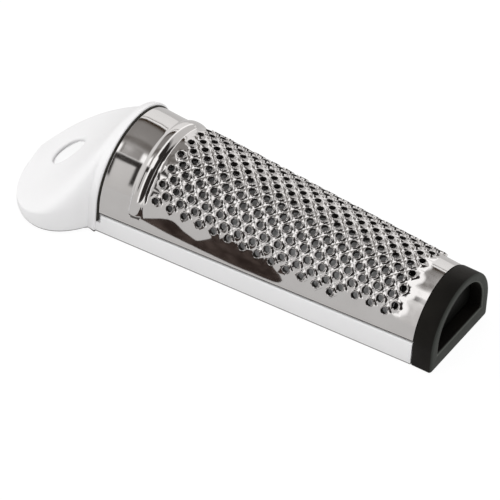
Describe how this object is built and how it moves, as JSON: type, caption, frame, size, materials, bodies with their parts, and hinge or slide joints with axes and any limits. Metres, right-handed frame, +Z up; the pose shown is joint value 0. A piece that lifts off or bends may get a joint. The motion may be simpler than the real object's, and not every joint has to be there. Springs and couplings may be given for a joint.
{
  "type": "nutmeg grater",
  "caption": "Hand-held half-round nutmeg grater: burred steel shell with a rubber foot that draws off a white tray moulded with its handle.",
  "frame": {"origin": "on the surface it rests on, under the middle of the whole length and width", "axes": "+X from the handle towards the rubber foot, +Y to the left seen from the handle, +Z up"},
  "size_m": [0.1462, 0.06, 0.0312],
  "materials": {
    "white_moulding": "smooth white moulded plastic, lightly glossy",
    "black_seal": "soft black rubber, satin",
    "polished_steel": "stainless sheet polished to a mirror",
    "black_moulding": "hard black moulded plastic",
    "black_rubber": "black rubber, satin, rounded edges"
  },
  "bodies": {
    "handle": {"handle_tray": "white_moulding", "shoulder_seal": "black_seal"},
    "shell": {"grating_shell": "polished_steel", "end_plug": "black_moulding", "foot_cap": "black_rubber"}
  },
  "joints": [
    {"name": "shell_slide", "type": "slide", "parent": "handle", "child": "shell", "axis": [0.9999, 0, 0.0168], "range_m": [0, 0.055]}
  ]
}
